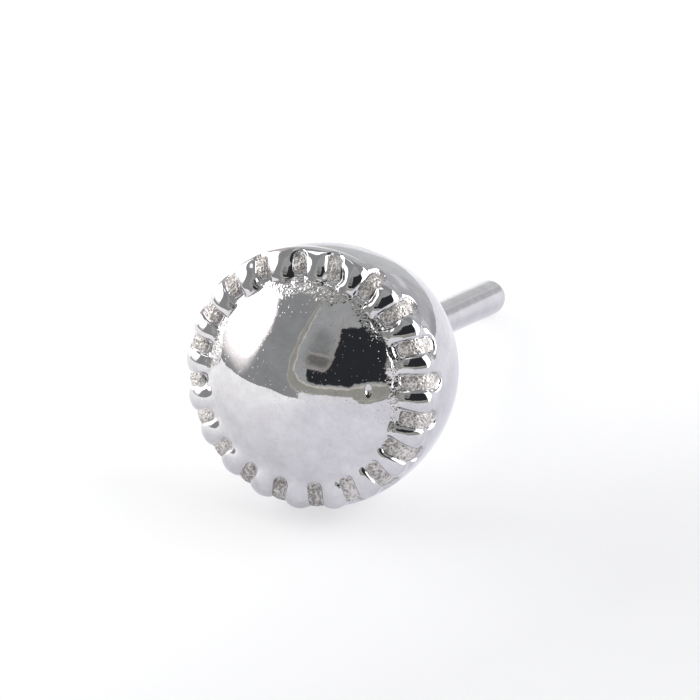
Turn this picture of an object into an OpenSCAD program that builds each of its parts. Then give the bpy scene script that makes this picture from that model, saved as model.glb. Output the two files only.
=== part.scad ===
// Threadless piercing end: a small domed head with a lugged rim, soldered to a plain push-fit pin.
// It lies as it comes to rest by itself, on the side of its head and the end of its pin.

/* [Pin] */
// Diameter of the pin wire
pin_d = 0.51; // [0.4:0.01:0.6]
// Length of the pin from the back of the head to its rounded end
pin_len = 5.5; // [5:0.1:7]

/* [Head] */
// Diameter of the head where its side wall is widest
head_d = 3.76; // [3.6:0.02:3.8]
// Height of the widest place above the back
widest_z = 1.16; // [1:0.02:1.3]
// Radius of the side wall's bulge, seen in section
wall_bulge_r = 3.5; // [3:0.1:5]
// Width of the bevel round the back
back_bevel = 0.05; // [0.02:0.01:0.08]

/* [Dome] */
// Radius of the ball that the dome is cut from
dome_ball_r = 2.18; // [2.14:0.02:2.24]
// Height of the dome's top above the back
dome_top_z = 2.19; // [2.16:0.01:2.22]

/* [Lugged rim] */
// Number of lugs, and of the grooves between them
lugs = 20; // [16:1:24]
// Radius of the ring along which the lugs stand highest
crest_ring_r = 1.5; // [1.48:0.01:1.52]
// Height of the lugs' crests above the back
crest_z = 1.69; // [1.67:0.01:1.71]
// Radius of the lugs' rounded tops, seen in section
crest_round_r = 0.45; // [0.43:0.01:0.47]
// Radius of the shoulder where the lugs turn down into the wall
shoulder_r = 0.3; // [0.28:0.01:0.32]
// Height of the shoulder's centre above the back
shoulder_z = 1.41; // [1.39:0.01:1.43]

/* [Grooves] */
// Width of each groove
groove_w = 0.25; // [0.2:0.01:0.28]
// Depth of each groove below the lugs
groove_depth = 0.07; // [0.05:0.01:0.1]
// Radius at which the grooves' round inner ends start
groove_in_r = 1.48; // [1.46:0.01:1.5]
// Height on the side wall at which the grooves' round outer ends stop
groove_out_z = 1.15; // [1.1:0.01:1.2]

/* [Hidden] */
$fn = 96;

pin_r = pin_d / 2;
head_r = head_d / 2;
pitch = 360 / lugs;
pin_root = 0.4;
white_gold = "#c4c5c9";

// Centres of the arcs that make up the head's section, as radius and height above the back
wall_c = [head_r - wall_bulge_r, widest_z];
shoulder_c = [head_r - shoulder_r, shoulder_z];
crest_c = [crest_ring_r, crest_z - crest_round_r];
dome_c = [0, dome_top_z - dome_ball_r];

// Radius of the back before its edge is bevelled
back_r = wall_c[0] + sqrt(pow(wall_bulge_r, 2) - pow(widest_z, 2));

// On a level surface the wall's bulge and the ball end of the pin both touch it.
// rest_tilt is how far the pin then slopes down, and rest_z how high the middle of the back is.
reach = pin_len - pin_r;
across = -wall_c[0];
along = reach + widest_z;
rest_tilt = atan2(along, across) - acos((wall_bulge_r - pin_r) / norm([across, along]));
rest_z = pin_r + reach * sin(rest_tilt);

// From front to back the lying part reaches from the dome to the end of the pin
front_y = -dome_c[1] * cos(rest_tilt) - dome_ball_r;
end_y = reach * cos(rest_tilt) + pin_r;

module disc_in_section(centre, r) {
    translate(centre) circle(r = r);
}

// Section of the rim: the wall's arc, then the shoulder's, then the crest's, all drawn in by inset
module rim_section(inset = 0) {
    intersection() {
        disc_in_section(wall_c, wall_bulge_r - inset);
        union() {
            square([head_r, shoulder_z]);
            intersection() {
                disc_in_section(crest_c, crest_round_r - inset);
                union() {
                    square([shoulder_c[0], crest_z]);
                    disc_in_section(shoulder_c, shoulder_r - inset);
                }
            }
        }
    }
}

// Corner that the bevel takes off the edge of the back, in section
module back_corner() {
    polygon([
        [back_r - back_bevel, 0],
        [back_r - back_bevel, -back_bevel],
        [back_r + 2 * back_bevel, -back_bevel],
        [back_r + 2 * back_bevel, 3 * back_bevel]
    ]);
}

// Solid rim and side wall, with nothing cut yet
module wall() {
    rotate_extrude() difference() {
        rim_section();
        back_corner();
    }
}

module dome() {
    rotate_extrude() intersection() {
        disc_in_section(dome_c, dome_ball_r);
        square([crest_ring_r, dome_top_z]);
    }
}

// Straight-sided window with a round end towards the dome and another down on the wall
module groove_window() {
    inner_c = groove_in_r + groove_w / 2;
    outer_c = groove_out_z + groove_w / 2;
    intersection() {
        linear_extrude(height = head_d) {
            translate([inner_c, 0]) circle(d = groove_w);
            translate([inner_c, -groove_w / 2]) square([head_d, groove_w]);
        }
        rotate([90, 0, 90]) linear_extrude(height = head_d) {
            translate([0, outer_c]) circle(d = groove_w);
            translate([-groove_w / 2, outer_c]) square([groove_w, head_d]);
        }
    }
}

// All grooves: the windows, less the floor that follows the rim one groove depth down
module grooves() {
    difference() {
        for (i = [0 : lugs - 1]) {
            rotate((i + 0.5) * pitch - 90) groove_window();
        }
        rotate_extrude() rim_section(groove_depth);
    }
}

module head() {
    difference() {
        union() {
            wall();
            dome();
        }
        grooves();
    }
}

// The pin starts inside the head, so that the two are one solid as the soldered ones are
module pin() {
    translate([0, 0, -reach]) {
        cylinder(r = pin_r, h = reach + pin_root);
        sphere(r = pin_r);
    }
}

module piercing_end() {
    color(white_gold)
        translate([0, -(front_y + end_y) / 2, rest_z])
            rotate([90 - rest_tilt, 0, 0]) {
                head();
                pin();
            }
}

piercing_end();
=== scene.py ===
"""Threadless piercing end of polished white gold, lying on a table on its head's side and its pin's end."""
import math
from types import SimpleNamespace

import bpy
import numpy as np
from mathutils import Matrix, Vector, noise


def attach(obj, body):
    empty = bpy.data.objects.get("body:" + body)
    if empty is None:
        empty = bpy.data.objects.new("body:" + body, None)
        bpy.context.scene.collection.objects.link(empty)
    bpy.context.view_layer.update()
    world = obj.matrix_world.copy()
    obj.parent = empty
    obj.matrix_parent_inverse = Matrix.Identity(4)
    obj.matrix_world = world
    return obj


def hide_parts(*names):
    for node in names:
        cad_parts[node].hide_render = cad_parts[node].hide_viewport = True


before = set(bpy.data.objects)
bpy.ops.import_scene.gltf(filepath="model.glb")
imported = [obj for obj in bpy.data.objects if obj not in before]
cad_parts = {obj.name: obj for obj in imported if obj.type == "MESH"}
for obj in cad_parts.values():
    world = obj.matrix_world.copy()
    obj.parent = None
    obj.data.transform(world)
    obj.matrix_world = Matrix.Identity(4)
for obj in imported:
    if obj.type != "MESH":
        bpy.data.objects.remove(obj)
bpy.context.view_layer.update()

# Sizes in millimetres, as in the solid. HAIR draws every surface in, to stay inside the solid's facets.
MM = 0.001
HAIR = 0.0022
PIN_R, PIN_LEN = 0.255, 5.5
HEAD_R, WIDEST_Z, BULGE_R, BACK_BEVEL = 1.88, 1.16, 3.5, 0.05
BALL_R, DOME_TOP = 2.18, 2.19
CREST_RING, CREST_Z, CREST_R = 1.5, 1.69, 0.45
SHOULDER_R, SHOULDER_Z = 0.3, 1.41
LUGS = 20
GROOVE_DEPTH = 0.07

WALL_C = (HEAD_R - BULGE_R, WIDEST_Z)
SHOULDER_C = (HEAD_R - SHOULDER_R, SHOULDER_Z)
CREST_C = (CREST_RING, CREST_Z - CREST_R)
BALL_C = (0.0, DOME_TOP - BALL_R)

# How it lies: the pin slopes down by TILT, and the middle of the back is REST_Z above the table
REACH = PIN_LEN - PIN_R
ALONG, ACROSS = REACH + WIDEST_Z, -WALL_C[0]
TILT = math.atan2(ALONG, ACROSS) - math.acos((BULGE_R - PIN_R) / math.hypot(ACROSS, ALONG))
REST_Z = PIN_R + REACH * math.sin(TILT)
FRONT_Y = -BALL_C[1] * math.cos(TILT) - BALL_R
END_Y = REACH * math.cos(TILT) + PIN_R
LIE = (
    Matrix.Translation(Vector((0, -(FRONT_Y + END_Y) / 2, REST_Z)) * MM)
    @ Matrix.Rotation(math.pi / 2 - TILT, 4, "X")
    @ Matrix.Scale(MM, 4)
)

# What the solid leaves out. Polishing has rounded all corners of the section by CORNER_SOFT, and the
# grooves' edges by EDGE_ROUND. The lugs' tops fall to both sides by LUG_CROWN, in mm per square mm, and the
# grooves' floors by FLOOR_CROWN in all. Solder fills the corner at the pin's foot with a hollow fillet of
# radius FILLET_R.
CORNER_SOFT = 0.015
EDGE_ROUND = 0.026
LUG_CROWN = 1.5
FLOOR_CROWN = 0.016
FILLET_R = 0.09

# Angles round the head are in degrees, anticlockwise from the right as seen from the front. A window of
# angles gives where it starts to open, is open, starts to close and is closed. These four are where the
# corner between dome and lugs is filled, where the grooves' edges are worn, and where painted shade makes
# the skin in the grooves darker.
FILLED = (178, 200, 330, 350)
WORN = (22, 32, 76, 84)
DARK_AT_UPPER_LEFT = (84, 100, 160, 182)
DARK_AT_BOTTOM = (222, 236, 280, 294)

# The rough band of casting skin left between the dome and the lugs: for angles round the head, the radius
# at which it starts and how coarse its nodules are. It ends at the radius SKIN_END.
SKIN = (
    (0, 1.32, 0.45), (18, 1.31, 0.45), (33, 1.37, 0.4), (45, 1.28, 0.45), (54, 1.32, 0.5),
    (67, 1.35, 0.6), (74, 1.23, 1.0), (81, 1.20, 1.0), (96, 1.26, 1.0), (108, 1.22, 1.0),
    (116, 1.34, 0.9), (124, 1.46, 0.5), (148, 1.46, 0.5), (156, 1.40, 0.8), (164, 1.33, 1.0),
    (172, 1.22, 1.0), (178, 1.24, 0.9), (186, 1.45, 0.5), (335, 1.46, 0.3), (344, 1.41, 0.35),
    (352, 1.37, 0.4), (360, 1.32, 0.45),
)
SKIN_END = 1.44

# A bead of metal on that band, and a pit with a wide shallow dent round it: radius, angle, half sizes along
# and across the radius, and height
BLEMISHES = (
    (1.37, 19, 0.05, 0.12, 0.045), (1.083, 5.6, 0.036, 0.085, -0.022), (1.1, 4.5, 0.17, 0.22, -0.0025),
)

# Each groove as it was cut: degrees that its inner and its outer end stray from an even spacing, the radius
# at which it starts, the height on the wall at which it ends, and half its width. The first is the one next
# to the lowest lug, on its right.
GROOVES = (
    (3.0, 0.4, 1.43, 1.15, 0.120), (4.0, 0.4, 1.44, 1.15, 0.117), (3.4, 1.0, 1.46, 1.15, 0.122),
    (1.1, 1.0, 1.43, 1.15, 0.133), (0.1, 0.4, 1.48, 1.15, 0.129), (0.9, -0.3, 1.47, 1.15, 0.122),
    (-0.1, -1.6, 1.49, 1.16, 0.122), (-0.3, -0.7, 1.47, 1.18, 0.120), (-1.0, -0.3, 1.49, 1.28, 0.117),
    (-0.6, 2.0, 1.50, 1.45, 0.122), (0.4, 0.8, 1.50, 1.53, 0.112), (3.0, 2.6, 1.54, 1.42, 0.112),
    (2.7, 2.7, 1.51, 1.35, 0.117), (2.6, 2.6, 1.47, 1.33, 0.117), (1.3, 1.3, 1.50, 1.33, 0.117),
    (1.4, 1.4, 1.50, 1.30, 0.112), (1.7, 1.2, 1.48, 1.20, 0.110), (1.0, 0.6, 1.46, 1.20, 0.114),
    (1.4, 0.5, 1.45, 1.20, 0.114), (1.4, 0.6, 1.44, 1.15, 0.118),
)


def linear(hex_colour):
    """sRGB hex to the linear colour that a shader takes."""
    parts = [int(hex_colour[i : i + 2], 16) / 255 for i in (1, 3, 5)]
    return (*[c / 12.92 if c <= 0.04045 else ((c + 0.055) / 1.055) ** 2.4 for c in parts], 1.0)


def smooth(low, high, value):
    """0 below low, 1 above high, and a smooth rise between them."""
    k = np.clip((value - low) / (high - low), 0, 1)
    return k * k * (3 - 2 * k)


def within(window, value):
    """1 where a window is open and 0 where it is closed."""
    opens, is_open, closes, is_closed = window
    return smooth(opens, is_open, value) * (1 - smooth(closes, is_closed, value))


def crossing(c1, r1, c2, r2, side):
    """Where two circles cross; side 1 is on the right of the line from c1 to c2, and -1 on its left."""
    dx, dy = c2[0] - c1[0], c2[1] - c1[1]
    d = math.hypot(dx, dy)
    a = (r1 * r1 - r2 * r2 + d * d) / (2 * d)
    h = side * math.sqrt(r1 * r1 - a * a)
    return c1[0] + (a * dx + h * dy) / d, c1[1] + (a * dy - h * dx) / d


def arc(centre, r, start, end, step=0.002):
    """Points from start to end along a circle, clockwise."""
    a0 = math.atan2(start[1] - centre[1], start[0] - centre[0])
    a1 = math.atan2(end[1] - centre[1], end[0] - centre[0])
    a = np.linspace(a0, a1, max(2, int(abs(a1 - a0) * r / step)), endpoint=False)
    return np.stack([centre[0] + r * np.cos(a), centre[1] + r * np.sin(a)], 1)


def along(line):
    """Length along a line at each of its points."""
    return np.concatenate([[0.0], np.cumsum(np.hypot(*np.diff(line, axis=0).T))])


def resampled(line, at):
    """The line's points at the given lengths along it."""
    s = along(line)
    return np.stack([np.interp(at, s, line[:, k]) for k in (0, 1)], 1)


def softened(line, reach, step=0.002):
    """The line with its corners rounded: each point moves to the weighted mean of its neighbours."""
    length = along(line)[-1]
    line = resampled(line, np.linspace(0, length, int(round(length / step)) + 1))
    n = int(3 * reach / step)
    weight = np.exp(-0.5 * (np.arange(-n, n + 1) * step / reach) ** 2)
    weight /= weight.sum()
    padded = np.concatenate([2 * line[0] - line[n:0:-1], line, 2 * line[-1] - line[-2 : -n - 2 : -1]])
    return np.stack([np.convolve(padded[:, k], weight, "valid") for k in (0, 1)], 1)


def head_section():
    """The head's outline as radius and height, from the dome's top over the lugs down to the pin's foot."""
    valley = crossing(BALL_C, BALL_R, CREST_C, CREST_R, -1)
    turn = crossing(CREST_C, CREST_R, SHOULDER_C, SHOULDER_R, 1)
    edge = crossing(SHOULDER_C, SHOULDER_R, WALL_C, BULGE_R, -1)
    # The wall slopes, so that the bevel meets it higher up than it is wide
    bevel_z = 1.35 * BACK_BEVEL
    low = (WALL_C[0] + math.sqrt(BULGE_R**2 - (WIDEST_Z - bevel_z) ** 2), bevel_z)
    back = (WALL_C[0] + math.sqrt(BULGE_R**2 - WIDEST_Z**2) - BACK_BEVEL, 0.0)
    line = np.concatenate([
        arc(BALL_C, BALL_R, (0.0, DOME_TOP), valley),
        arc(CREST_C, CREST_R, valley, turn),
        arc(SHOULDER_C, SHOULDER_R, turn, edge),
        arc(WALL_C, BULGE_R, edge, low),
        np.linspace(low, back, 30, endpoint=False),
        np.linspace(back, (PIN_R, 0.0), 600),
    ])
    return softened(line, CORNER_SOFT)


def outwards(line):
    """Normals of a section line that runs from the middle of the front outwards."""
    t = np.gradient(line, axis=0)
    t /= np.hypot(*t.T)[:, None]
    return np.stack([-t[:, 1], t[:, 0]], 1)


def where(section_line, at_least_r=None, down_to_z=None):
    """Length along the section out to a radius on its front, or down to a height on its wall."""
    s = along(section_line)
    if at_least_r is not None:
        return s[np.argmax(section_line[:, 0] > at_least_r)]
    on_wall = section_line[:, 0] > 1.6
    return s[np.argmax(on_wall & (section_line[:, 1] < down_to_z))]


def revolved(name, tip, points, material, flipped=False):
    """A piece made of rings of points round the head's axis, closed at its tip by a fan of triangles."""
    rings, columns = points.shape[:2]
    k = np.arange(columns)
    after = (k + 1) % columns
    fan = np.stack([0 * k, 1 + k, 1 + after], 1)
    quads = []
    for first in 1 + columns * np.arange(rings - 1):
        second = first + columns
        quads.append(np.stack([first + k, second + k, second + after, first + after], 1))
    quads = np.concatenate(quads)
    if flipped:
        fan, quads = fan[:, ::-1], quads[:, ::-1]

    mesh = bpy.data.meshes.new(name)
    vertices = np.concatenate([[tip], points.reshape(-1, 3)])
    mesh.from_pydata(vertices.tolist(), [], fan.tolist() + quads.tolist())
    mesh.transform(LIE)
    mesh.validate()
    mesh.shade_smooth()
    mesh.materials.append(material)
    made = bpy.data.objects.new(name, mesh)
    bpy.context.collection.objects.link(made)
    return made


def mark(made, name, tip, values):
    """Gives the tip and the other points of a piece values that its material reads."""
    layer = made.data.attributes.new(name, "FLOAT", "POINT")
    layer.data.foreach_set("value", np.concatenate([[tip], values.ravel()]).astype(np.float32))


def grain(points, size, octaves=1):
    """Even noise of about -1 to 1 at each point, with grains of the given size in mm."""
    flat = (points / size).reshape(-1, 3)
    total = np.zeros(len(flat))
    for k in range(octaves):
        f = 2.0**k
        total += np.array([noise.noise(Vector(p * f + 7.3 * k)) for p in flat]) / f
    return total.reshape(points.shape[:-1])


def round_the_axis(r, z, angle):
    """Points or directions from radius, height and angle."""
    return np.stack([r * np.cos(angle), r * np.sin(angle), z + 0 * angle], 2)


def head_rings(line):
    """The head's rings of points: each one's length along the section, radius, height and normal."""
    s = along(line)
    rim_start, groove_end = where(line, 1.38), where(line, down_to_z=1.10)
    back = s[np.argmax((line[:, 1] < 0.003) & (line[:, 0] < 1.53))]
    # Rings lie closest where the grooves are
    rim_step = 0.0135
    stops = (
        0.02, where(line, 0.98), where(line, 1.2), rim_start, groove_end, where(line, down_to_z=0.12), back,
    )
    counts = (18, 18, 17, int((groove_end - rim_start) / rim_step), 12, 14)
    stations = [np.linspace(a, b, n, endpoint=False) for a, b, n in zip(stops, stops[1:], counts)]
    stations = np.concatenate([*stations, np.linspace(back, s[-1], 6)])
    r, z = resampled(line, stations).T[:, :, None]
    out_r, out_z = (np.interp(stations, s, part)[:, None] for part in outwards(line).T)
    return SimpleNamespace(u=stations[:, None], r=r, z=z, out_r=out_r, out_z=out_z)


def add_columns(at, line):
    """Adds the columns of points to the rings: their angles, and where the nearest groove lies."""
    stray_in, stray_out, start_r, end_z, half = np.array(GROOVES).T
    u_in = np.array([where(line, q) for q in start_r]) + half
    u_out = np.array([where(line, down_to_z=q) for q in end_z]) - half

    # The line down each groove's middle, as an angle at each ring
    share = np.clip((at.u - u_in) / (u_out - u_in), 0, 1)
    even = (np.arange(LUGS) + 0.5) * (2 * math.pi / LUGS) - math.pi / 2
    middle = even + np.radians(stray_in + share * (stray_out - stray_in))
    to_next = np.roll(middle, -1, 1) - middle
    to_next[:, -1] += 2 * math.pi

    # Columns stand close together along the grooves' sides, and a few more cross each lug. On the dome,
    # where the radius is too small for their spacing in millimetres, they keep their angles.
    at.wide_r = np.maximum(at.r, 1.45)
    across_lug = 5
    angle, nearest = [], []
    for g in range(LUGS):
        sides = half[g] + EDGE_ROUND * np.linspace(-1.2, 1.25, 9)
        near = np.concatenate([sides[0] * np.array([0, 0.27, 0.53, 0.78]), sides])
        offsets = np.concatenate([-near[:0:-1], near])
        angle.append(middle[:, g : g + 1] + np.arcsin(offsets / at.wide_r))
        nearest += [g] * len(offsets)
        after = (g + 1) % LUGS
        first = np.arcsin(near[-1] / at.wide_r)
        last = to_next[:, g : g + 1] - np.arcsin((half[after] + 1.25 * EDGE_ROUND) / at.wide_r)
        for k in range(1, across_lug + 1):
            angle.append(middle[:, g : g + 1] + first + k / (across_lug + 1) * (last - first))
            nearest.append(after if k > across_lug / 2 else g)
    at.angle = np.concatenate(angle, 1)
    at.turned = np.degrees(at.angle) % 360
    at.from_middle = (at.angle - middle[:, nearest] + math.pi) % (2 * math.pi) - math.pi
    at.gap = np.where(at.from_middle > 0, to_next[:, nearest], np.roll(to_next, 1, 1)[:, nearest])
    at.across = np.abs(at.wide_r * np.sin(at.from_middle))
    at.u_in, at.u_out, at.half = u_in[nearest], u_out[nearest], half[nearest]
    at.past_ends = np.maximum(np.maximum(at.u_in - at.u, at.u - at.u_out), 0)
    at.inside = inside_groove(at, at.past_ends)


def inside_groove(at, past_ends):
    """1 inside a groove and 0 outside it, with a rise as wide as its rounded edge."""
    return np.clip((at.half - np.hypot(past_ends, at.across) + EDGE_ROUND) / (2 * EDGE_ROUND), 0, 1)


def sunk_below_section(at, line):
    """Depth below the plain section: grooves with steep sides, the lugs' falling tops, and worn edges."""
    # The grooves run out to the dome, a little past the round end of their grainy floor
    run_out = 0.1 * (1 - at.filled)
    cut = inside_groove(at, np.maximum(np.maximum(at.u_in - run_out - at.u, at.u - at.u_out), 0))
    cut = cut**2 * (1.6 - 0.6 * cut)

    from_lug = np.abs((at.gap / 2 - np.abs(at.from_middle)) * at.wide_r)
    from_lug = np.minimum(from_lug, at.gap / 2 * at.wide_r - at.half + 0.03)
    crowned = within((where(line, 1.36), where(line, 1.47), at.u_out - 0.08, at.u_out + 0.1), at.u)
    from_outline = np.hypot(at.past_ends, at.across)
    pillow = FLOOR_CROWN * np.clip(1 - (from_outline / at.half) ** 2, 0, 1)

    # The clockwise edge of the grooves at the upper right is worn down to a broad chamfer at its inner end
    chamfer = 0.055 * (1 - smooth(0.0, 0.1, from_outline - at.half)) * (at.from_middle < 0)
    chamfer = chamfer * within((at.u_in - 0.16, at.u_in - 0.06, at.u_in + 0.08, at.u_in + 0.2), at.u)
    chamfer = chamfer * within(WORN, at.turned)
    return (1 - cut) * (crowned * LUG_CROWN * from_lug**2 + chamfer) + cut * (GROOVE_DEPTH - pillow)


def raised_by_dome(at, sunk):
    """Height that the dome adds: its ball runs on to the grooves' floors and the lugs. At the bottom the
    corner between them is filled and polished over, by a curve from the dome at radius a to the lugs'
    crests at radius b."""
    a, b = 1.3, 1.56
    a_z, b_z = math.sqrt(BALL_R**2 - a * a) + BALL_C[1], CREST_Z - 0.004
    a_slope, b_slope = -a / math.sqrt(BALL_R**2 - a * a), -0.13
    k = np.clip((at.r - a) / (b - a), 0, 1)
    bridge = (2 * k**3 - 3 * k**2 + 1) * a_z + (k**3 - 2 * k**2 + k) * (b - a) * a_slope
    bridge += (3 * k**2 - 2 * k**3) * b_z + (k**3 - k**2) * (b - a) * b_slope
    bridged = np.where(at.front & (at.r > a) & (at.r < b), bridge - at.z, 0.0)

    ball_z = np.sqrt(BALL_R**2 - np.minimum(at.r, 1.6) ** 2) + BALL_C[1]
    over = np.where(at.front & (at.r > a), np.maximum(ball_z - (at.z - at.out_z * sunk), 0.0), 0.0)
    return at.filled * bridged + (1 - at.filled) * over


def unevenness(at, points, coarse):
    """Height of what casting and polishing have left on the surface: skin, nodules, waves and blemishes."""
    rough = grain(points, 0.05, 2)
    nodules = np.abs(grain(points, 0.075))
    rise = at.floor * 0.004 * rough
    rise = rise + at.band * (1 - at.floor) * coarse * (0.018 * nodules - 0.003 + 0.003 * rough)
    # The dome isn't quite a ball: soft polishing has left it a little uneven
    rise = rise + np.minimum(0.0028 * grain(points, 0.9), 0.001) * at.front * (at.r < 1.4)
    for at_r, at_angle, along_r, across_r, height in BLEMISHES:
        turn = np.radians(at.turned - at_angle)
        away = np.hypot((at.r * np.cos(turn) - at_r) / along_r, at.r * np.sin(turn) / across_r)
        rise = rise + height * (1 - smooth(0.2, 1.25, away)) * (np.cos(turn) > 0)
    return rise


def cast_head(material):
    """The head: its section turned round the axis, with lugs, grooves and what casting has left on it."""
    line = head_section()
    at = head_rings(line)
    add_columns(at, line)
    at.front = at.u < where(line, 1.58)
    at.filled = within(FILLED, at.turned)
    sunk = sunk_below_section(at, line)
    inwards = sunk + HAIR
    z = at.z - at.out_z * inwards + raised_by_dome(at, sunk)
    points = round_the_axis(at.r - at.out_r * inwards, z, at.angle)

    # As it came from the mould: the grooves' floors, and the band, whose borders wander
    angles, starts, coarseness = zip(*SKIN)
    band_start = np.interp(at.turned, angles, starts)
    coarse = np.interp(at.turned, angles, coarseness)
    wander = grain(round_the_axis(at.r, 0, at.angle), 0.3)
    at.floor = smooth(0.6, 0.95, at.inside)
    at.band = smooth(-0.03, 0.03, at.r - band_start + 0.05 * wander) * (1 - at.filled) * at.front
    at.band = at.band * (1 - smooth(-0.02, 0.04, at.r - SKIN_END + 0.03 * wander))
    rise = unevenness(at, points, coarse)
    points += rise[..., None] * round_the_axis(at.out_r, at.out_z, at.angle)
    made = revolved("cast_head", (0.0, 0.0, points[0, :, 2].mean()), points, material)

    # Specks are thickest next to the band; painted shade makes the grooves' skin darker at the upper left
    # and the bottom
    near_band = smooth(-0.5, 0.0, at.r - band_start) * (1 - at.filled)
    speckled = at.front * (at.r < 1.42) * (0.35 + 0.65 * near_band)
    painted_groove_shade = at.floor * (within(DARK_AT_UPPER_LEFT, at.turned) + 0.8 * within(DARK_AT_BOTTOM, at.turned))
    mark(made, "speckled", 0.0, speckled)
    mark(made, "painted_groove_shade", 0.0, painted_groove_shade)
    # The band is less dull than the floors, and its skin thinner
    mark(made, "as_cast", 0.0, np.maximum(at.floor, 0.35 * at.band))
    mark(made, "groove", 0.0, np.maximum(at.floor, 0.45 * at.band))
    return made


def pin_wire(material):
    """The pin, with its ball end, and at its foot the small hollow fillet that the solder leaves."""
    end = np.linspace(math.pi / 2, 0, 16)[1:]
    fillet = np.linspace(0, math.pi / 2, 10)
    wire_r = PIN_R - HAIR
    line = [(wire_r * math.cos(a), -REACH - wire_r * math.sin(a)) for a in end]
    line += [(wire_r, z) for z in np.linspace(-REACH, -FILLET_R, 60)[1:-1]]
    line += [(wire_r + FILLET_R * (1 - math.cos(a)), -FILLET_R + FILLET_R * math.sin(a)) for a in fillet]
    r, z = np.array(line).T[:, :, None]
    columns = 72
    points = round_the_axis(r, z, np.arange(columns) * 2 * math.pi / columns + 0 * r)
    made = revolved("pin_wire", (0.0, 0.0, -REACH - wire_r), points, material, flipped=True)
    # The wire is as it was drawn, a little duller than the polished head
    drawn = 0.3
    mark(made, "as_cast", drawn, np.full(points.shape[:2], drawn))
    return made


def node(tree, kind, inputs, out=0, **settings):
    """Adds a shader node and gives its output. An input takes a value, or another node's output."""
    made = tree.nodes.new("ShaderNode" + kind)
    for name, value in settings.items():
        setattr(made, name, value)
    for key, value in inputs.items():
        if isinstance(value, bpy.types.NodeSocket):
            tree.links.new(value, made.inputs[key])
        else:
            made.inputs[key].default_value = value
    return None if out is None else made.outputs[out]


def blend(tree, factor, first, second):
    """From the first colour at factor 0 to the second at 1. A colour is hex, or a node's output."""
    first, second = (linear(c) if isinstance(c, str) else c for c in (first, second))
    return node(tree, "Mix", {"Factor": factor, 6: first, 7: second}, out=2, data_type="RGBA")


def shader(name):
    """A new material with its node tree and its surface shader."""
    m = bpy.data.materials.new(name)
    m.use_nodes = True
    return m, m.node_tree, m.node_tree.nodes["Principled BSDF"]


def white_gold():
    """White gold. Polished, it mirrors the room; as cast, in the grooves and the band round the dome, it is
    grainy and dull. All patterns are measured in millimetres on the part, so a scale is a number of
    features to the millimetre."""
    m, tree, bsdf = shader("white_gold_polished")
    bsdf.inputs["Metallic"].default_value = 1.0
    on_table = node(tree, "TexCoord", {}, out="Object")
    place = node(tree, "Mapping", {
        "Vector": on_table, "Location": LIE.translation,
        "Rotation": (math.pi / 2 - TILT, 0, 0), "Scale": (MM, MM, MM),
    }, vector_type="TEXTURE")
    marks = ("as_cast", "groove", "painted_groove_shade", "speckled")
    cast, groove, painted_groove_shade, speckled = (
        node(tree, "Attribute", {}, out="Fac", attribute_name=name) for name in marks
    )

    # Grains of the as-cast skin, 0.05 mm across with finer ones on them; the hollows between them are darker
    grains = node(tree, "TexNoise", {"Vector": place, "Scale": 18.0, "Detail": 2.0, "Roughness": 0.6})
    fine = node(tree, "TexVoronoi", {"Vector": place, "Scale": 26.0}, out="Distance")
    skin = node(tree, "Math", {0: grains, 1: fine}, operation="ADD")
    patches = node(tree, "TexNoise", {"Vector": place, "Scale": 5.0, "Detail": 2.0})
    raised = node(tree, "Math", {0: skin, 1: patches}, operation="ADD")
    # Painted shade: the grooves' skin is made darker at the upper left and the bottom
    raised = node(tree, "Math", {0: painted_groove_shade, 1: -0.28, 2: raised}, operation="MULTIPLY_ADD")
    raised = node(tree, "MapRange", {"Value": raised, "From Min": 1.1, "From Max": 1.75})
    grey = blend(tree, raised, "#8b8785", "#d3cfcc")

    # Polished metal isn't even either: a thin haze mottles it in patches of about 0.3 mm
    haze = node(tree, "TexNoise", {"Vector": place, "Scale": 3.4, "Detail": 8.0, "Roughness": 0.8})
    haze = node(tree, "MapRange", {"Value": haze, "From Min": 0.3, "From Max": 0.7})
    bright = blend(tree, haze, "#cdccce", "#b5b3b6")
    tree.links.new(blend(tree, groove, bright, grey), bsdf.inputs["Base Color"])
    dull = node(tree, "MapRange", {"Value": cast, "To Min": 0.03, "To Max": 0.48})
    tree.links.new(dull, bsdf.inputs["Roughness"])

    # Heights in millimetres: the skin, small specks that stand up from polished metal, 0.02 mm across, and
    # faint waves left by polishing by hand, which make the edges of everything that the metal mirrors a
    # little ragged
    speck_away = node(tree, "TexVoronoi", {"Vector": place, "Scale": 18.0}, out="Distance")
    specks = node(tree, "MapRange", {
        "Value": speck_away, "From Min": 0.2, "From Max": 0.02, "To Min": 0.0, "To Max": 0.0026,
    }, interpolation_type="SMOOTHSTEP")
    specks = node(tree, "Math", {0: specks, 1: speckled}, operation="MULTIPLY")
    waves = node(tree, "TexNoise", {"Vector": place, "Scale": 5.0, "Detail": 2.5, "Roughness": 0.45})
    relief = node(tree, "Math", {0: waves, 1: 0.0016, 2: specks}, operation="MULTIPLY_ADD")
    height = node(tree, "Math", {0: skin, 1: groove}, operation="MULTIPLY")
    height = node(tree, "Math", {0: height, 1: 0.0125, 2: relief}, operation="MULTIPLY_ADD")
    bump = node(tree, "Bump", {"Strength": 1.0, "Distance": MM, "Height": height})
    tree.links.new(bump, bsdf.inputs["Normal"])
    return m


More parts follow.
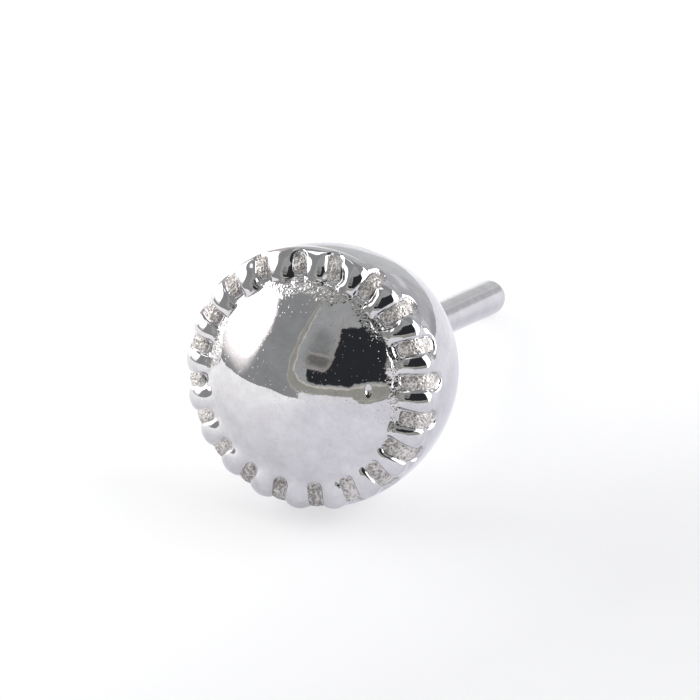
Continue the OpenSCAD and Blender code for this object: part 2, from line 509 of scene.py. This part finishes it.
def white_paper():
    """The table as the camera sees it: white paper with a painted glow, which takes away most of the
    shadow. The glow is dimmer towards the front right, as painted shade."""
    m, tree, bsdf = shader("white_paper")
    bsdf.inputs["Base Color"].default_value = linear("#b4b4b5")
    bsdf.inputs["Roughness"].default_value = 0.8
    bsdf.inputs["Emission Strength"].default_value = 1.0
    place = node(tree, "TexCoord", {}, out="Object")
    # Painted shade: the glow falls off towards the front right
    front_right = (0.93, -0.37, 0)
    dimmer = node(tree, "VectorMath", {0: place, 1: front_right}, out="Value", operation="DOT_PRODUCT")
    dimmer = node(tree, "MapRange", {"Value": dimmer, "From Min": -2 * MM, "From Max": 6 * MM})
    tree.links.new(blend(tree, dimmer, "#c8c8c8", "#a5a5a6"), bsdf.inputs["Emission Color"])
    return m


def mirrored_paper():
    """The table as the metal mirrors it: paper with a painted glow, brighter on the left as painted light,
    and darker on the right of the part as painted shadow, where the head and the pin keep some light off it."""
    m, tree, bsdf = shader("mirrored_paper")
    bsdf.inputs["Roughness"].default_value = 0.8
    bsdf.inputs["Emission Strength"].default_value = 1.9
    place = node(tree, "TexCoord", {}, out="Object")
    # Painted light and shade: the sheet glows, brighter on the left and darker beside the part
    x = node(tree, "SeparateXYZ", {0: place}, out="X")
    to_right = node(tree, "MapRange", {"Value": x, "From Min": -6 * MM, "From Max": 0.0})
    tint = blend(tree, to_right, "#ffffff", "#e6e6ec")
    shaded_place = (1.2 * MM, 0.8 * MM, 0)
    away = node(tree, "VectorMath", {0: place, 1: shaded_place}, out="Value", operation="DISTANCE")
    in_the_open = node(tree, "MapRange", {"Value": away, "From Min": MM, "From Max": 4.2 * MM})
    tint = blend(tree, in_the_open, "#dadae1", tint)
    tree.links.new(blend(tree, 0.88, "#000000", tint), bsdf.inputs["Base Color"])
    tree.links.new(blend(tree, 0.24, "#000000", tint), bsdf.inputs["Emission Color"])
    return m


def stage_plane(name, low, high, z, material):
    """A level sheet of the stage between two corners, in millimetres. It casts no shadow."""
    (x0, y0), (x1, y1) = low, high
    corners = [(x * MM, y * MM, z * MM) for x, y in ((x0, y0), (x1, y0), (x1, y1), (x0, y1))]
    mesh = bpy.data.meshes.new(name)
    mesh.from_pydata(corners, [], [(0, 1, 2, 3)])
    mesh.materials.append(material)
    made = bpy.data.objects.new(name, mesh)
    bpy.context.collection.objects.link(made)
    made.visible_shadow = False
    return made


# What the metal mirrors of the room, by compass bearing and height in degrees. Bearing 0 is the side that
# the dome faces, and bearings grow towards +X. Each part is a panel with round corners and a soft edge, and
# lean is how far its bearing shifts with each degree of height. Later panels stand in front of earlier
# ones, and in front of a grey room.
EXPOSURE = 1.31
GREY_ROOM = "#999b9b"
ROOM = (
    # bearings, heights, corner, edge, lean, colour, strength
    # The wall behind the part, on both sides of bearing 180, with a light streak low down
    ((150, 200), (-40, 64), 12, 8, 0, "#cbcdcd", 1.0),
    ((-200, -138), (-40, 64), 12, 8, 0, "#cbcdcd", 1.0),
    ((-168, -150), (-9, -1), 3, 1.5, 0, "#f0f0f4", 1.0),
    # Its greyer part, with a darker patch low down and two light streaks
    ((150, 186), (-14, 64), 8, 5, 0, "#c0c1c3", 1.0),
    ((158, 171), (-12, -3), 3, 2, 0, "#abadaf", 1.0),
    ((172, 188), (5.5, 9.5), 1.8, 1.2, 0, "#e0e0e4", 1.0),
    ((148, 158.5), (-2, 6), 2, 1.5, 0, "#dfe0e2", 1.0),
    # On the left, a soft lamp overhead, and the big one with its warm rim, its glow and its low side
    ((-112, -78), (58, 84), 10, 5, 0, "#ffffff", 2.0),
    ((-132, -53.5), (3.5, 42), 15, 3, 0, "#e9d9d2", 1.0),
    ((-104, -58), (-2, 26), 10, 6, 0, "#fbf6f3", 1.5),
    ((-114, -55.5), (5, 41), 14, 4, 0, "#ffffff", 3.2),
    ((-124, -96), (-18, 16), 10, 6, 0, "#ffffff", 2.2),
    # The lamp on the right
    ((81, 142), (-14, 48), 8, 3, 0, "#ffffff", 3.2),
    # In front, a dark opening, whose tan border has light edges on both sides; pale paper lies before it
    ((26, 78), (-9, 9), 4, 0.8, 0, "#a5a59e", 1.0),
    ((-24.8, 76), (-2.4, 85), 17, 0.5, 0, "#b9b8b0", 1.0),
    ((-23.8, 75), (-1.6, 84), 16, 0.5, 0, "#a3a39b", 1.0),
    ((-14, 30), (-25, 0.2), 5, 0.7, 0, "#f6f6f9", 0.95),
    ((-20.6, 74), (5.6, 82), 15, 0.5, 0, "#d4d0c4", 1.0),
    ((-19.4, 73), (7.0, 81), 14, 0.5, 0, "#adafae", 1.0),
    ((-10, 78), (8.4, 52), 6, 0.7, 0, "#303235", 1.0),
    # A grey panel that stands in the opening, with its warm rim, its darker middle and foot, and a light line
    ((-12, 12.8), (17.4, 63), 6, 0.6, 0.22, "#a99a8c", 1.0),
    ((-11, 12), (18.2, 63), 5.4, 0.6, 0.22, "#abadac", 1.0),
    ((-19.2, 2), (18.4, 63), 5.4, 0.6, 0, "#abadac", 1.0),
    ((-13, 7), (21.4, 47), 8, 6, 0.1, "#8f9190", 1.0),
    ((-11, 8), (20.9, 31), 5, 3, 0.1, "#787671", 1.0),
    ((-12, 8), (28.8, 30.6), 0.9, 0.9, 0, "#a8a7a3", 1.0),
)


def room():
    """Lights the scene with the room's panels. The camera itself sees plain white beyond the table."""
    world = bpy.data.worlds.new("room")
    bpy.context.scene.world = world
    world.use_nodes = True
    tree = world.node_tree
    tree.nodes.clear()
    way = node(tree, "TexCoord", {}, out="Generated")
    x, y, z = (node(tree, "SeparateXYZ", {0: way}, out=axis) for axis in "XYZ")
    minus_y = node(tree, "Math", {0: y, 1: -1.0}, operation="MULTIPLY")
    bearing = node(tree, "Math", {0: x, 1: minus_y}, operation="ARCTAN2")
    height = node(tree, "Math", {0: z}, operation="ARCSINE")
    both = node(tree, "CombineXYZ", {0: bearing, 1: height})
    both = node(tree, "VectorMath", {0: both, 3: math.degrees(1)}, operation="SCALE")

    # Nothing in the room has ruled edges: they wander by a degree or so
    wander = node(tree, "TexNoise", {"Vector": way, "Scale": 7.0, "Detail": 3.0}, out="Color")
    wander = node(tree, "VectorMath", {0: wander, 1: (0.5, 0.5, 0)}, operation="SUBTRACT")
    both = node(tree, "VectorMath", {0: wander, 1: (4.5, 4.5, 0), 2: both}, operation="MULTIPLY_ADD")

    seen = linear(GREY_ROOM)
    for (left, right), (bottom, top), corner, edge, lean, colour, strength in ROOM:
        # How far a direction lies outside the panel's straight-sided middle, in degrees
        middle = ((left + right) / 2, (bottom + top) / 2, 0)
        flat = ((right - left) / 2 - corner, (top - bottom) / 2 - corner, 0)
        away = node(tree, "VectorMath", {0: both, 1: middle}, operation="SUBTRACT")
        if lean:
            leaning = (1, -lean, 0)
            upright = node(tree, "VectorMath", {0: away, 1: leaning}, out="Value", operation="DOT_PRODUCT")
            upwards = node(tree, "SeparateXYZ", {0: away}, out="Y")
            away = node(tree, "CombineXYZ", {0: upright, 1: upwards})
        away = node(tree, "VectorMath", {0: away}, operation="ABSOLUTE")
        away = node(tree, "VectorMath", {0: away, 1: flat}, operation="SUBTRACT")
        away = node(tree, "VectorMath", {0: away, 1: (0, 0, 0)}, operation="MAXIMUM")
        away = node(tree, "VectorMath", {0: away}, out="Value", operation="LENGTH")
        inside = node(tree, "MapRange", {
            "Value": away, "From Min": corner + edge, "From Max": corner - edge, "To Min": 0.0, "To Max": 1.0,
        }, interpolation_type="SMOOTHSTEP")
        shade = (*[c * strength for c in linear(colour)[:3]], 1.0)
        seen = blend(tree, inside, seen, shade)
    from_camera = node(tree, "LightPath", {}, out="Is Camera Ray")
    seen = blend(tree, from_camera, seen, "#ffffff")
    light = node(tree, "Background", {"Color": seen, "Strength": EXPOSURE})
    node(tree, "OutputWorld", {"Surface": light}, out=None)


def photographed_from(bearing, height, distance, px_per_mm, picture_px, seen_at):
    """Sets up the camera. Bearing and height are in degrees and the distance is in millimetres; the middle
    of the rim's plane comes to lie at the pixel seen_at."""
    az, el = math.radians(bearing), math.radians(height)
    back = Vector((math.sin(az) * math.cos(el), -math.cos(az) * math.cos(el), math.sin(el)))
    right = Vector((math.cos(az), math.sin(az), 0))
    up = back.cross(right)
    rim_middle = LIE @ Vector((0, 0, 1.5))
    middle_px = picture_px / 2
    aim = rim_middle + (right * (middle_px - seen_at[0]) + up * (seen_at[1] - middle_px)) / px_per_mm * MM
    lens = bpy.data.cameras.new("camera")
    lens.sensor_width = 36.0
    lens.lens = lens.sensor_width * px_per_mm * distance / picture_px
    lens.clip_start, lens.clip_end = 0.01, 5.0
    camera = bpy.data.objects.new("camera", lens)
    camera.location = aim + back * distance * MM
    camera.rotation_mode = "QUATERNION"
    camera.rotation_quaternion = (-back).to_track_quat("-Z", "Y")
    bpy.context.collection.objects.link(camera)
    bpy.context.scene.camera = camera


gold = white_gold()
head = cast_head(gold)
pin = pin_wire(gold)
for made in (head, pin):
    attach(made, "root")
    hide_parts("piercing_end")

# The camera sees the table, which is wide. The metal mirrors a sheet of paper just above it instead.
table = stage_plane("table", (-1000, -1000), (1000, 1000), 0.0, white_paper())
table.visible_glossy = False
# The metal's copy of the table glows with painted light, and carries painted shade beside the part
sheet = stage_plane("paper", (-15.5, -25), (25, 20), 0.02, mirrored_paper())
sheet.visible_camera = False
sheet.visible_diffuse = False

room()
bpy.context.scene.view_settings.view_transform = "Standard"
photographed_from(
    bearing=23.5, height=27.4, distance=160.0, px_per_mm=71.35, picture_px=700, seen_at=(308.0, 379.2)
)
